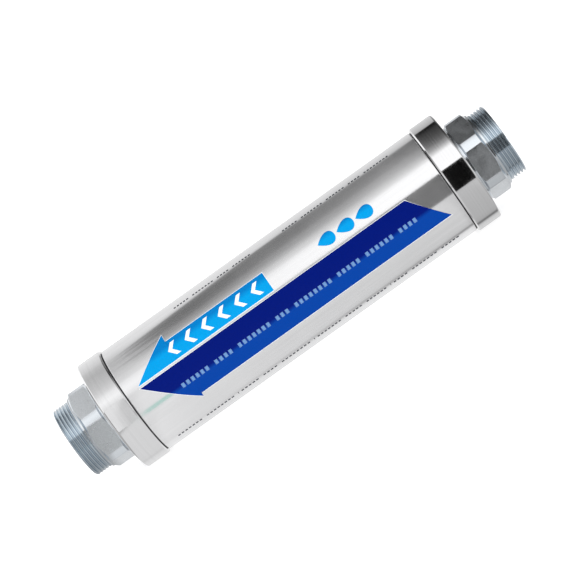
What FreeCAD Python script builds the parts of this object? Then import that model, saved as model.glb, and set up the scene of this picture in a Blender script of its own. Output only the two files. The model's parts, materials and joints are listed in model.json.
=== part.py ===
"""An in-line magnetic water filter: a straight steel housing with a screwed end cap and a hex nipple
at each end, and a cartridge of magnets, zinc discs and copper discs held on its axis.

Millimetres. The flow runs from the inlet at +X to the outlet at -X, +Z is up, -Y is the front, and the
origin is the middle of the housing on its axis. Both ends are alike, so each end piece is made at the
inlet and mirrored to the outlet. The nipples are turned round instead, because their port threads are
right-hand helices. The other male threads are rings of the real pitch and depth, and the female threads
are plain bores that clear the male crests.
"""

import FreeCAD, Part  # FreeCAD has to be imported before Part

import math
import os

V = FreeCAD.Vector

# Housing
TUBE_LENGTH = 158.5
TUBE_OUTER_D = 50.0
TUBE_WALL = 3.0
TUBE_EDGE_CHAMFER = 0.35

# End caps, which screw into the tube with a spigot
CAP_STEP = 1.0  # how far a cap stands proud of the tube
CAP_FLANGE_LENGTH = 11.6
CAP_EDGE_CHAMFER = 0.5
GASKET_THICKNESS = 0.5
GASKET_RECESS = 0.5  # how far a gasket's rim lies below the tube's surface
SPIGOT_LENGTH = 16.0
SPIGOT_PITCH = 1.5
SPIGOT_PLAIN_LENGTH = 5.0  # the part of the spigot that carries the O-ring
SPIGOT_MOUTH_WALL = 3.0
THREAD_CLEARANCE = 0.05
THREAD_FLANK_ANGLE = 30.0
THREAD_TURN_GAP = 0.04  # between neighbouring turns of a helical groove's cutter
THREAD_SEAMS = 6  # lines along a port thread that divide its one helical crest face into short arcs
O_RING_SECTION = 1.9
O_RING_CLEARANCE = 0.05
O_RING_GROOVE_ROOM = 0.6  # how much wider a groove is than its ring

# Hex nipples, which screw into the caps
STUB_WALL = 2.5
STUB_LENGTH = 10.0
STUB_PITCH = 1.5
PORT_THREAD_D = 33.0
PORT_WALL = 4.0  # from the port thread's crest to the bore
PORT_PITCH = 1.5
PORT_THREAD_LENGTH = 7.9
PORT_END_CHAMFER = 0.4
BORE_MOUTH_CHAMFER = 0.8
SHOULDER_LENGTH = 0.8
SHOULDER_STEP = 0.75
HEX_LENGTH = 9.6
HEX_STEP = 1.0  # from the port thread's crest to a hex flat
HEX_CORNER_STEP = 1.5  # from a hex flat to the turned corners
HEX_CHAMFER_ANGLE = 33.0
COLLAR_LENGTH = 1.3
COLLAR_RIM = 0.6  # how much wider, in radius, the collar is than the seal's recess
COLLAR_GROOVE_WIDTH = 0.3
COLLAR_GROOVE_DEPTH = 0.35
SEAL_WIDTH = 2.3
SEAL_THICKNESS = 1.5
SEAL_CLEARANCE = 0.1
CAP_BORE_STEP = 0.5  # how much wider, in radius, a cap's bore is than a nipple's
CAP_BORE_LAND = 1.0  # the straight part of a cap's bore, before it widens

# Cartridge
CARTRIDGE_CLEARANCE = 0.2
BUFFER_THICKNESS = 1.0
BUFFER_GAP = 0.05
SPIDER_LENGTH = 8.0
SPIDER_RIM_WALL = 2.8
SPIDER_ARM_THICKNESS = 3.0
SPIDER_ARMS = 4
SPIDER_DOME_LENGTH = 9.0
WATER_GAP = 5.0  # from a spider's hub to its rim
HUB_WALL = 3.0
SLEEVE_WALL = 0.8
SPACER_WALL = 2.0
DISC_THICKNESS = 3.0
DISC_PAIRS = 3  # each pair is a zinc disc and a copper disc
DISC_WEB = 1.15  # metal between a disc's holes and its edges
DISC_HOLE_GAP = 2.2
SLIDE_FIT = 0.1

# Magnet stack inside the sleeve
PLUG_DEPTH = 8.0
PLUG_FLANGE = 2.0
PLUG_PIN_D = 8.0
PLUG_PIN_LENGTH = 5.0
PLUG_O_RING_SECTION = 1.5
MAGNETS = 6
POLE_THICKNESS = 2.5
STACK_CLEARANCE = 0.2
STACK_END_ROOM = 0.8
ROD_D = 5.0
ROD_CLEARANCE = 0.15
NUT_HEIGHT = 2.7
NUT_ACROSS_FLATS = 8.0

# Printed arrows, as thin films on the tube
LABEL_TILT = 20.0  # the middle of the label faces forwards and this far up
FILM_THICKNESS = 0.12
FILM_LIFT = 0.01
ARROW_TIP_MARGIN = 6.4  # from the arrows' tips to the tube's outlet end
ARROW_HEAD_LENGTH = 19.6
BIG_ARROW_TAIL_MARGIN = 5.5
BIG_ARROW_TAIL_SLANT = 12.7
BIG_ARROW_ANGLES = (6.3, -32.1, -36.4)  # root edge, far edge and barb, up from the label's middle
SMALL_ARROW_LENGTH = 68.8
SMALL_ARROW_ANGLES = (9.0, 30.5, 39.1)

# Hex flats, up from the label's middle
OUTLET_HEX_TURN = -16.3
INLET_HEX_TURN = -11.0

# Sizes and places that follow from the values above
TUBE_R = TUBE_OUTER_D / 2
TUBE_BORE_R = TUBE_R - TUBE_WALL
TUBE_END = TUBE_LENGTH / 2
FLANGE_FACE = TUBE_END + GASKET_THICKNESS
CAP_R = TUBE_R + CAP_STEP
CAP_FACE = FLANGE_FACE + CAP_FLANGE_LENGTH
SPIGOT_R = TUBE_BORE_R - THREAD_CLEARANCE
SPIGOT_END = FLANGE_FACE - SPIGOT_LENGTH
PORT_R = PORT_THREAD_D / 2
BORE_R = PORT_R - PORT_WALL
CAP_BORE_R = BORE_R + CAP_BORE_STEP
STUB_R = BORE_R + STUB_WALL
STUB_END = CAP_FACE - STUB_LENGTH
SEAL_RECESS_R = STUB_R + SEAL_WIDTH + SEAL_CLEARANCE
COLLAR_R = SEAL_RECESS_R + COLLAR_RIM
HEX_FLAT_R = PORT_R + HEX_STEP
HEX_CORNER_R = HEX_FLAT_R + HEX_CORNER_STEP
COLLAR_FACE = CAP_FACE + COLLAR_LENGTH
HEX_FACE = COLLAR_FACE + HEX_LENGTH
SHOULDER_FACE = HEX_FACE + SHOULDER_LENGTH
SHOULDER_R = PORT_R + SHOULDER_STEP
PORT_FACE = SHOULDER_FACE + PORT_THREAD_LENGTH
BUFFER_FACE = SPIGOT_END - BUFFER_GAP
SPIDER_FACE = BUFFER_FACE - BUFFER_THICKNESS
STACK_END = SPIDER_FACE - SPIDER_LENGTH
CARTRIDGE_R = TUBE_BORE_R - CARTRIDGE_CLEARANCE
HUB_R = CARTRIDGE_R - SPIDER_RIM_WALL - WATER_GAP
SLEEVE_R = HUB_R - HUB_WALL
SLEEVE_BORE_R = SLEEVE_R - SLEEVE_WALL
SPACER_R = SLEEVE_R + SLIDE_FIT + SPACER_WALL
PLUG_R = SLEEVE_BORE_R - SLIDE_FIT / 2
PLUG_INNER_FACE = STACK_END - PLUG_DEPTH
MAGNET_R = SLEEVE_BORE_R - STACK_CLEARANCE
STACK_HALF = PLUG_INNER_FACE - STACK_END_ROOM - NUT_HEIGHT

AXIS_START = V(0, 0, 0)
AXIS = V(1, 0, 0)


def turned(points):
    """A solid turned about the X axis from an outline of (x, radius) points."""
    corners = [V(x, r, 0) for x, r in points]
    outline = Part.makePolygon(corners + [corners[0]])
    return Part.Face(outline).revolve(AXIS_START, AXIS, 360)


def ring(x0, x1, outer_r, inner_r):
    """A plain ring from x0 to x1."""
    return turned([(x0, inner_r), (x1, inner_r), (x1, outer_r), (x0, outer_r)])


def rod(x0, x1, r):
    """A round bar from x0 to x1."""
    return Part.makeCylinder(r, x1 - x0, V(x0, 0, 0), AXIS)


def torus(x, middle_r, section_r):
    """An O-ring whose section is centred at (x, middle_r)."""
    return Part.makeTorus(middle_r, section_r, V(x, 0, 0), AXIS)


def around(r, degrees_up, x=0.0):
    """The point at radius r, that many degrees up from the front (-Y)."""
    a = math.radians(degrees_up)
    return V(x, -r * math.cos(a), r * math.sin(a))


def hex_bar(x0, x1, flat_r, degrees_up):
    """A hexagonal bar whose first flat faces degrees_up from the front."""
    corner_r = flat_r / math.cos(math.pi / 6)
    corners = [around(corner_r, degrees_up + 30 + 60 * k, x0) for k in range(6)]
    face = Part.Face(Part.makePolygon(corners + [corners[0]]))
    return face.extrude(V(x1 - x0, 0, 0))


def at_outlet(shape):
    """The same piece at the other end."""
    return shape.mirror(AXIS_START, AXIS)


def turned_round(shape):
    """The same piece at the other end, turned half round the Z axis so that its thread keeps its hand."""
    piece = shape.copy()
    piece.rotate(AXIS_START, V(0, 0, 1), 180)
    return piece


def thread_depth(pitch):
    """The depth of an ISO 60 degree male thread."""
    return 0.6134 * pitch


def thread_outline(x0, x1, crest_r, pitch):
    """Outline points of a male thread's rings from x0 to x1, with both ends on the crest."""
    depth = thread_depth(pitch)
    crest = pitch / 8
    root = pitch / 4
    flank = (pitch - crest - root) / 2
    turns = int((x1 - x0 + crest) / pitch)
    lead = (x1 - x0 - (turns * pitch - crest)) / 2
    points = [(x0, crest_r)]
    for k in range(turns):
        x = x0 + lead + k * pitch
        points += [
            (x, crest_r),
            (x + flank, crest_r - depth),
            (x + flank + root, crest_r - depth),
            (x + 2 * flank + root, crest_r),
        ]
    return points + [(x1, crest_r)]


def thread_groove(x0, x1, crest_r, pitch):
    """The groove of a right-hand helical thread, whose middle runs from x0 to x1, to be cut from a bar.

    Its flanks go on past the crest as far as neighbouring turns stay apart.
    """
    root = pitch / 12
    mouth = pitch / 2 - THREAD_TURN_GAP
    root_r = crest_r - thread_depth(pitch)
    mouth_r = root_r + (mouth - root) / math.tan(math.radians(THREAD_FLANK_ANGLE))
    corners = [V(root_r, 0, -root), V(root_r, 0, root), V(mouth_r, 0, mouth), V(mouth_r, 0, -mouth)]
    helix = Part.makeHelix(pitch, x1 - x0, crest_r)
    sweep = Part.BRepOffsetAPI.MakePipeShell(Part.Wire(helix.Edges))
    sweep.setFrenetMode(True)
    sweep.add(Part.makePolygon(corners + [corners[0]]))
    sweep.build()
    sweep.makeSolid()
    groove = sweep.shape()
    groove.rotate(AXIS_START, V(0, 1, 0), 90)
    groove.translate(V(x0, 0, 0))
    return groove


def with_seams(shape, x0, x1, r, count):
    """The same solid, with the faces at radius r from x0 to x1 divided by equally spaced lines along X."""
    lines = []
    for k in range(count):
        line = Part.makeLine(V(x0, 0, r), V(x1, 0, r))
        line.rotate(AXIS_START, AXIS, 360 * k / count)
        lines.append(line)
    return shape.Solids[0].generalFuse(lines)[0].Solids[0]


def housing_tube():
    c = TUBE_EDGE_CHAMFER
    return turned(
        [
            (-TUBE_END, TUBE_BORE_R + c),
            (-TUBE_END + c, TUBE_BORE_R),
            (TUBE_END - c, TUBE_BORE_R),
            (TUBE_END, TUBE_BORE_R + c),
            (TUBE_END, TUBE_R - c),
            (TUBE_END - c, TUBE_R),
            (-TUBE_END + c, TUBE_R),
            (-TUBE_END, TUBE_R - c),
        ]
    )


def o_ring_groove():
    """(middle x, floor radius) of the groove in a cap's spigot."""
    return FLANGE_FACE - SPIGOT_PLAIN_LENGTH / 2, SPIGOT_R - O_RING_SECTION - O_RING_CLEARANCE


def end_cap():
    """Flange, O-ring groove and threaded spigot, with a bore that widens towards the cartridge."""
    c = CAP_EDGE_CHAMFER
    groove_x, floor_r = o_ring_groove()
    half = (O_RING_SECTION + O_RING_GROOVE_ROOM) / 2
    thread_start = FLANGE_FACE - SPIGOT_PLAIN_LENGTH
    root_r = SPIGOT_R - thread_depth(SPIGOT_PITCH)
    step_x = STUB_END - SEAL_CLEARANCE
    outside = [
        (SPIGOT_END, root_r - c),
        (SPIGOT_END + c, root_r),
        *thread_outline(SPIGOT_END + 2 * c, thread_start, SPIGOT_R, SPIGOT_PITCH),
        (groove_x - half, SPIGOT_R),
        (groove_x - half, floor_r),
        (groove_x + half, floor_r),
        (groove_x + half, SPIGOT_R),
        (FLANGE_FACE, SPIGOT_R),
        (FLANGE_FACE, CAP_R - c),
        (FLANGE_FACE + c, CAP_R),
        (CAP_FACE - c, CAP_R),
        (CAP_FACE, CAP_R - c),
    ]
    inside = [
        (CAP_FACE, SEAL_RECESS_R),
        (CAP_FACE - SEAL_THICKNESS, SEAL_RECESS_R),
        (CAP_FACE - SEAL_THICKNESS, STUB_R + THREAD_CLEARANCE),
        (step_x, STUB_R + THREAD_CLEARANCE),
        (step_x, CAP_BORE_R),
        (step_x - CAP_BORE_LAND, CAP_BORE_R),
        (SPIGOT_END, root_r - SPIGOT_MOUTH_WALL),
    ]
    return turned(outside + inside)


def flange_gasket():
    return ring(TUBE_END, FLANGE_FACE, TUBE_R - GASKET_RECESS, SPIGOT_R + O_RING_CLEARANCE)


def cap_o_ring():
    groove_x, floor_r = o_ring_groove()
    return torus(groove_x, floor_r + O_RING_CLEARANCE / 2 + O_RING_SECTION / 2, O_RING_SECTION / 2)


def nipple(flat_up):
    """Threaded stub, collar, hex and port thread round one straight bore.

    The hex's first flat faces flat_up degrees up from the front.
    """
    c = PORT_END_CHAMFER
    mouth = BORE_MOUTH_CHAMFER
    groove_x = CAP_FACE + (COLLAR_LENGTH - COLLAR_GROOVE_WIDTH) / 2
    body = turned(
        [
            (STUB_END, BORE_R),
            (STUB_END, STUB_R - 2 * c),
            (STUB_END + 2 * c, STUB_R),
            *thread_outline(STUB_END + 2 * c, CAP_FACE - SEAL_THICKNESS, STUB_R, STUB_PITCH)[1:],
            (CAP_FACE, STUB_R),
            (CAP_FACE, COLLAR_R),
            (groove_x, COLLAR_R),
            (groove_x, COLLAR_R - COLLAR_GROOVE_DEPTH),
            (groove_x + COLLAR_GROOVE_WIDTH, COLLAR_R - COLLAR_GROOVE_DEPTH),
            (groove_x + COLLAR_GROOVE_WIDTH, COLLAR_R),
            (COLLAR_FACE, COLLAR_R),
            (COLLAR_FACE, SHOULDER_R),
            (SHOULDER_FACE, SHOULDER_R),
            (SHOULDER_FACE, PORT_R),
            (PORT_FACE - c, PORT_R),
            (PORT_FACE, PORT_R - c),
            (PORT_FACE, BORE_R + mouth),
            (PORT_FACE - mouth, BORE_R),
        ]
    )
    slope = math.tan(math.radians(HEX_CHAMFER_ANGLE))
    drop = HEX_CORNER_R - SHOULDER_R
    blank = turned(
        [
            (COLLAR_FACE, BORE_R + STUB_WALL),
            (COLLAR_FACE, COLLAR_R),
            (COLLAR_FACE + (HEX_CORNER_R - COLLAR_R) * slope, HEX_CORNER_R),
            (HEX_FACE - drop * slope, HEX_CORNER_R),
            (HEX_FACE, SHOULDER_R),
            (HEX_FACE, BORE_R + STUB_WALL),
        ]
    )
    flats = hex_bar(COLLAR_FACE, HEX_FACE, HEX_FLAT_R, flat_up)
    groove = thread_groove(SHOULDER_FACE + PORT_PITCH / 2, PORT_FACE + PORT_PITCH, PORT_R, PORT_PITCH)
    threaded = body.fuse(blank.common(flats)).removeSplitter().cut(groove)
    return with_seams(threaded, SHOULDER_FACE, PORT_FACE - c, PORT_R, THREAD_SEAMS)


def nipple_seal():
    inner_r = STUB_R + SEAL_CLEARANCE / 2
    return ring(CAP_FACE - SEAL_THICKNESS, CAP_FACE, STUB_R + SEAL_WIDTH, inner_r)


def buffer_ring():
    mouth_r = SPIGOT_R - thread_depth(SPIGOT_PITCH) - SPIGOT_MOUTH_WALL
    return ring(SPIDER_FACE, BUFFER_FACE, CARTRIDGE_R, mouth_r)


def spider():
    """A rim on four arms, and a hub that holds a core plug and ends in a dome towards the port."""
    rim = ring(STACK_END, SPIDER_FACE, CARTRIDGE_R, CARTRIDGE_R - SPIDER_RIM_WALL)
    arms = []
    arm_root = HUB_R / 2
    arm_length = CARTRIDGE_R - SPIDER_RIM_WALL / 2 - arm_root
    for k in range(SPIDER_ARMS):
        corner = V(STACK_END, -SPIDER_ARM_THICKNESS / 2, arm_root)
        arm = Part.makeBox(SPIDER_LENGTH, SPIDER_ARM_THICKNESS, arm_length, corner)
        arm.rotate(AXIS_START, AXIS, 360 * k / SPIDER_ARMS + 180 / SPIDER_ARMS)
        arms.append(arm)
    dome_r = (HUB_R**2 + SPIDER_DOME_LENGTH**2) / (2 * SPIDER_DOME_LENGTH)
    centre_x = SPIDER_FACE + SPIDER_DOME_LENGTH - dome_r
    half_angle = math.atan2(HUB_R, SPIDER_FACE - centre_x) / 2
    corners = [V(SPIDER_FACE + SPIDER_DOME_LENGTH, 0, 0), V(STACK_END, 0, 0), V(STACK_END, HUB_R, 0)]
    dome_edge = V(SPIDER_FACE, HUB_R, 0)
    dome_middle = V(centre_x + dome_r * math.cos(half_angle), dome_r * math.sin(half_angle), 0)
    sides = [Part.makeLine(p, q) for p, q in zip(corners, corners[1:] + [dome_edge])]
    dome = Part.Arc(dome_edge, dome_middle, corners[0]).toShape()
    hub = Part.Face(Part.Wire(sides + [dome])).revolve(AXIS_START, AXIS, 360)
    seat = rod(STACK_END, STACK_END + PLUG_FLANGE + SLIDE_FIT, SLEEVE_R + SLIDE_FIT)
    pin_end = STACK_END + PLUG_FLANGE + PLUG_PIN_LENGTH
    pin_hole = rod(STACK_END, pin_end + SLIDE_FIT, PLUG_PIN_D / 2 + SLIDE_FIT / 2)
    body = hub.fuse([rim] + arms).removeSplitter()
    return body.cut(seat).cut(pin_hole)


def core_sleeve():
    return ring(-STACK_END, STACK_END, SLEEVE_R, SLEEVE_BORE_R)


def plug_groove():
    """(middle x, floor radius) of the groove in a core plug."""
    return STACK_END - PLUG_DEPTH / 2, PLUG_R - PLUG_O_RING_SECTION - O_RING_CLEARANCE


def core_plug():
    """Closes one end of the sleeve, and sits in a spider's hub by its flange and pin."""
    groove_x, floor_r = plug_groove()
    half = (PLUG_O_RING_SECTION + O_RING_GROOVE_ROOM) / 2
    pin_r = PLUG_PIN_D / 2
    flange_face = STACK_END + PLUG_FLANGE
    return turned(
        [
            (PLUG_INNER_FACE, 0),
            (PLUG_INNER_FACE, PLUG_R),
            (groove_x - half, PLUG_R),
            (groove_x - half, floor_r),
            (groove_x + half, floor_r),
            (groove_x + half, PLUG_R),
            (STACK_END, PLUG_R),
            (STACK_END, SLEEVE_R),
            (flange_face, SLEEVE_R),
            (flange_face, pin_r),
            (flange_face + PLUG_PIN_LENGTH, pin_r),
            (flange_face + PLUG_PIN_LENGTH, 0),
        ]
    )


def plug_o_ring():
    groove_x, floor_r = plug_groove()
    section_r = PLUG_O_RING_SECTION / 2
    return torus(groove_x, floor_r + O_RING_CLEARANCE / 2 + section_r, section_r)


def magnet_stack():
    """Ring magnets between soft iron pole pieces, from end to end of the tie rod's thread."""
    hole_r = ROD_D / 2 + ROD_CLEARANCE
    magnet_length = (2 * STACK_HALF - (MAGNETS + 1) * POLE_THICKNESS) / MAGNETS
    pieces = {}
    x = -STACK_HALF
    for k in range(MAGNETS + 1):
        pieces[f"pole_piece_{k + 1}"] = ring(x, x + POLE_THICKNESS, MAGNET_R, hole_r)
        x += POLE_THICKNESS
        if k < MAGNETS:
            pieces[f"ring_magnet_{k + 1}"] = ring(x, x + magnet_length, MAGNET_R, hole_r)
            x += magnet_length
    return pieces


def tie_rod():
    end = STACK_HALF + NUT_HEIGHT + STACK_END_ROOM / 2
    return rod(-end, end, ROD_D / 2)


def tie_rod_nut():
    blank = hex_bar(STACK_HALF, STACK_HALF + NUT_HEIGHT, NUT_ACROSS_FLATS / 2, 0)
    return blank.cut(rod(STACK_HALF, STACK_HALF + NUT_HEIGHT, ROD_D / 2 + THREAD_CLEARANCE))


def treatment_disc(x0, turn):
    """A perforated disc on the sleeve. turn is in hole pitches, so that neighbours are staggered."""
    disc = ring(x0, x0 + DISC_THICKNESS, CARTRIDGE_R, SLEEVE_R + SLIDE_FIT)
    hole_d = CARTRIDGE_R - SPACER_R - 2 * DISC_WEB
    circle_r = (CARTRIDGE_R + SPACER_R) / 2
    count = int(2 * math.pi * circle_r / (hole_d + DISC_HOLE_GAP))
    holes = []
    for k in range(count):
        hole = rod(x0, x0 + DISC_THICKNESS, hole_d / 2)
        hole.translate(around(circle_r, 360 * (k + turn) / count))
        holes.append(hole)
    return disc.cut(holes)


def disc_stack():
    """Zinc and copper discs in turn, with a spacer before, between and after them."""
    discs = 2 * DISC_PAIRS
    spacer_length = (2 * STACK_END - discs * DISC_THICKNESS) / (discs + 1)
    pieces = {}
    x = -STACK_END
    for k in range(discs + 1):
        pieces[f"disc_spacer_{k + 1}"] = ring(x, x + spacer_length, SPACER_R, SLEEVE_R + SLIDE_FIT)
        x += spacer_length
        if k < discs:
            metal = "zinc" if k % 2 == 0 else "copper"
            pieces[f"{metal}_disc_{k // 2 + 1}"] = treatment_disc(x, 0.5 * (k % 2))
            x += DISC_THICKNESS
    return pieces


def film(corners):
    """A thin film on the tube, cut to an outline of (x, degrees up from the label's middle) corners."""
    inner_r = TUBE_R + FILM_LIFT
    shell = ring(-TUBE_END, TUBE_END, inner_r + FILM_THICKNESS, inner_r)
    flat = [V(x, 0, inner_r * math.sin(math.radians(a))) for x, a in corners]
    prism = Part.Face(Part.makePolygon(flat + [flat[0]])).extrude(V(0, -2 * TUBE_R, 0))
    piece = shell.common(prism)
    piece.rotate(AXIS_START, AXIS, -LABEL_TILT)
    return piece


def big_arrow_film():
    root, far, barb = BIG_ARROW_ANGLES
    tip = -TUBE_END + ARROW_TIP_MARGIN
    tail = TUBE_END - BIG_ARROW_TAIL_MARGIN
    head = tip + ARROW_HEAD_LENGTH
    return film([(tip, root), (tail - BIG_ARROW_TAIL_SLANT, root), (tail, far), (head, far), (head, barb)])


def small_arrow_film():
    root, far, barb = SMALL_ARROW_ANGLES
    tip = -TUBE_END + ARROW_TIP_MARGIN
    head = tip + ARROW_HEAD_LENGTH
    tail = tip + SMALL_ARROW_LENGTH
    return film([(tip, root), (tail, root), (tail, far), (head, far), (head, barb)])


def main():
    os.makedirs("parts", exist_ok=True)
    pieces = {
        "housing_tube": housing_tube(),
        "big_arrow_film": big_arrow_film(),
        "small_arrow_film": small_arrow_film(),
        "inlet_nipple": nipple(LABEL_TILT + INLET_HEX_TURN),
        "outlet_nipple": turned_round(nipple(-LABEL_TILT - OUTLET_HEX_TURN)),
        "core_sleeve": core_sleeve(),
        "tie_rod": tie_rod(),
        **magnet_stack(),
        **disc_stack(),
    }
    both_ends = {
        "end_cap": end_cap(),
        "flange_gasket": flange_gasket(),
        "cap_o_ring": cap_o_ring(),
        "nipple_seal": nipple_seal(),
        "buffer_ring": buffer_ring(),
        "spider": spider(),
        "core_plug": core_plug(),
        "plug_o_ring": plug_o_ring(),
        "tie_rod_nut": tie_rod_nut(),
    }
    for name, shape in both_ends.items():
        pieces[f"inlet_{name}"] = shape
        pieces[f"outlet_{name}"] = at_outlet(shape)
    for name, shape in pieces.items():
        print(f"{name}: {len(shape.Solids)} solid, valid {shape.isValid()}, {shape.Volume:.0f} mm3")
        shape.exportStep(os.path.join("parts", f"{name}.step"))
    print(f"{len(pieces)} nodes, overall length {2 * PORT_FACE:.1f} mm")


main()
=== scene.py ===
"""Looks of an in-line magnetic water filter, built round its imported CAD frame.

The flow axis is X, with the inlet at +X and the outlet at -X, and -Y is the front. Sizes in the classes are
millimetres. Meshes are made in metres.
"""

from __future__ import annotations

import enum
import json
import logging
import math
from dataclasses import dataclass, field
from typing import Iterable, Sequence

import bmesh
import bpy
import numpy as np
from mathutils import Matrix, Vector


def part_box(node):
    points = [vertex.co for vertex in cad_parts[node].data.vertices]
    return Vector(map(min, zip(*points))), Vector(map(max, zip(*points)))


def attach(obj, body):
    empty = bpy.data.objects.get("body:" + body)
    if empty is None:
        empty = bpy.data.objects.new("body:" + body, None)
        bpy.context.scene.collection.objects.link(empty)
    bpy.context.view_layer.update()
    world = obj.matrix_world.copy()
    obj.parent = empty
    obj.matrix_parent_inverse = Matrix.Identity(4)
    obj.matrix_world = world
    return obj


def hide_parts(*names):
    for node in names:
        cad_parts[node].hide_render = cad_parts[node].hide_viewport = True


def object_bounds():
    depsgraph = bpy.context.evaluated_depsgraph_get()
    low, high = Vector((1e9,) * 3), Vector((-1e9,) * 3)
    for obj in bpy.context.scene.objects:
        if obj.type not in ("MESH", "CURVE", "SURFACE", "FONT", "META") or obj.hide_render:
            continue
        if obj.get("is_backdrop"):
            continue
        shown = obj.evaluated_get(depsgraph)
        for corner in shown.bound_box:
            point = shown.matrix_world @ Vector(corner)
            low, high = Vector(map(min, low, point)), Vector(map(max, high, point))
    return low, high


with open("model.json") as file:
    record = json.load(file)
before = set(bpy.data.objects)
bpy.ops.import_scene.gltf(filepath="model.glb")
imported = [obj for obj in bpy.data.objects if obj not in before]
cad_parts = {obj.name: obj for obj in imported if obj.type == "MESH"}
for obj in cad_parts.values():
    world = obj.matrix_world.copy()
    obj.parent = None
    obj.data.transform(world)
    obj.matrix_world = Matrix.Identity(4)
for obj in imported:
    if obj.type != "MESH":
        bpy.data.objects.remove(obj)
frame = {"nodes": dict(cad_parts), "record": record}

MM = 0.001
TURN = 2.0 * math.pi
LABEL_TILT = 20.0  # degrees up from the front that the label's middle faces
WELD = 2.0e-8  # metres, the distance under which two points become one
THREAD_DEPTH = 0.6134  # of the pitch, as are the next two
CREST_HALF = 0.16  # where a crest ends, from its middle
ROOT_HALF = 0.38  # where the root begins, from the same middle
NOISE_LOW, NOISE_HIGH = 0.3, 0.7  # most of a noise value lies between these
BLOCK_SHARE = 0.62  # of its room in a row that a printed block takes
DROP_PEAK = 2.598  # 1 over the largest value of t sqrt(1 - t)

Colour = tuple[float, float, float]
Stops = tuple[tuple[float, float], ...]
Patch = tuple[np.ndarray, np.ndarray]  # points in metres and the quads between them
Piece = bpy.types.Object
Socket = bpy.types.NodeSocket
Film = tuple[Piece, object, str, tuple[str, ...]]  # a film, its finish, its slot and the nodes it replaces

log = logging.getLogger("filter")


# ---------------------------------------------------------------- choices


class End(enum.Enum):
    """The two ends of the filter, with the side of the origin that each is on."""

    INLET = 1
    OUTLET = -1

    @property
    def label(self) -> str:
        """The end's name in node and body names."""
        return self.name.lower()


class Grain(enum.Enum):
    """Which way the fine tool or polishing marks run on a metal surface."""

    ALONG = "along the axis"
    ROUND = "round the axis"


# ---------------------------------------------------------------- surfaces


def closed_turn(step: float) -> np.ndarray:
    """Angles of a whole turn, both ends included, about `step` degrees apart.

    Args:
        step: the wanted spacing in degrees.

    Returns:
        Angles in radians from 0 to one turn.
    """
    return np.linspace(0.0, TURN, int(round(360.0 / step)) + 1)


def rounded_rows(points: Sequence[tuple], turns: int, steps: int = 4) -> np.ndarray:
    """Rows of a profile whose corners are rounded, for every angle at once.

    Each corner P is replaced by the quadratic curve (1-s)^2 A + 2s(1-s) P + s^2 B. A and B lie on its two
    sides, as far from P as the corner's rounding or 0.38 of the shorter side. A row just outside A and one
    just outside B keep the shading of the sides flat.

    Args:
        points: (x, radius, rounding) in millimetres. x and radius may be arrays over the angles.
        turns: the number of angles.
        steps: the number of spans in a rounded corner.

    Returns:
        An array (rows, turns, 2) of x and radius.
    """
    corner = np.stack(
        [np.stack([np.broadcast_to(p[0], turns), np.broadcast_to(p[1], turns)], axis=-1) for p in points]
    ).astype(float)
    rows = [corner[0]]
    s = np.linspace(0.0, 1.0, steps + 1)[:, None, None]
    for k in range(1, len(points) - 1):
        before, after = corner[k - 1] - corner[k], corner[k + 1] - corner[k]
        long_in = np.linalg.norm(before, axis=-1, keepdims=True) + 1e-9
        long_out = np.linalg.norm(after, axis=-1, keepdims=True) + 1e-9
        reach = np.minimum(points[k][2], 0.38 * np.minimum(long_in, long_out))
        a = corner[k] + before / long_in * reach
        b = corner[k] + after / long_out * reach
        curve = (1 - s) ** 2 * a + 2 * s * (1 - s) * corner[k] + s**2 * b
        rows += [a + (a - corner[k]) * 0.22, *curve, b + (b - corner[k]) * 0.22]
    rows.append(corner[-1])
    return np.stack(rows)


def thread_rows(x0: float, x1: float, crest: float, pitch: float, angle: np.ndarray, hand: int,
                fade: float = 1.0) -> np.ndarray:
    """Rows of a helical male thread that follow its crests.

    A row of phase f lies at x = (f + whole turns) * pitch + hand * pitch * angle / one turn, held between x0
    and x1. The radius is the crest's, less the depth times a flat-topped tooth of the phase at that x. The
    crests are a little worn and plated over, so they are wider than fresh ones. The depth fades out over
    `fade` pitches before x0, as where a die stops.

    Args:
        x0: where the thread runs out, in millimetres outwards from the middle of the filter.
        x1: where the thread ends.
        crest: crest radius.
        pitch: pitch.
        angle: angles in radians.
        hand: +1 or -1, so that the helix is right-handed at either end of the filter.
        fade: length of the run-out in pitches. A negative value puts the run-out at x1.

    Returns:
        An array (rows, angles, 2) of x and radius.
    """
    phase = np.array([-0.17, -0.13, 0.13, 0.17, 0.2, 0.36, 0.4, 0.5, 0.6, 0.64, 0.8])
    first = math.floor(x0 / pitch) - 2
    last = math.ceil(x1 / pitch) + 2
    start = ((np.arange(first, last)[:, None] + phase[None, :]) * pitch).ravel()
    x = np.clip(start[:, None] + hand * pitch * angle[None, :] / TURN, x0, x1)
    f = x / pitch - hand * angle[None, :] / TURN
    f = np.abs(f - np.round(f))
    tooth = np.clip((f - CREST_HALF) / (ROOT_HALF - CREST_HALF), 0.0, 1.0)
    ramp = (x - x0) / (fade * pitch) if fade > 0 else (x1 - x) / (-fade * pitch)
    radius = crest - THREAD_DEPTH * pitch * tooth * np.clip(ramp, 0.0, 1.0)
    return np.stack([x, radius], axis=-1)


def outward(vertices: np.ndarray, faces: np.ndarray) -> np.ndarray:
    """Faces turned so that they point outwards.

    The signed volume is a sixth of the sum of a . (b x c) over the triangles (a, b, c) of the surface.

    Args:
        vertices: (n, 3) points.
        faces: (m, 4) indices.

    Returns:
        The faces, reversed if the volume came out negative.
    """
    a, b, c, d = (vertices[faces[:, k]] for k in range(4))
    volume = np.einsum("ij,ij->", a, np.cross(b, c)) + np.einsum("ij,ij->", a, np.cross(c, d))
    return faces if volume > 0 else faces[:, ::-1]


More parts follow.
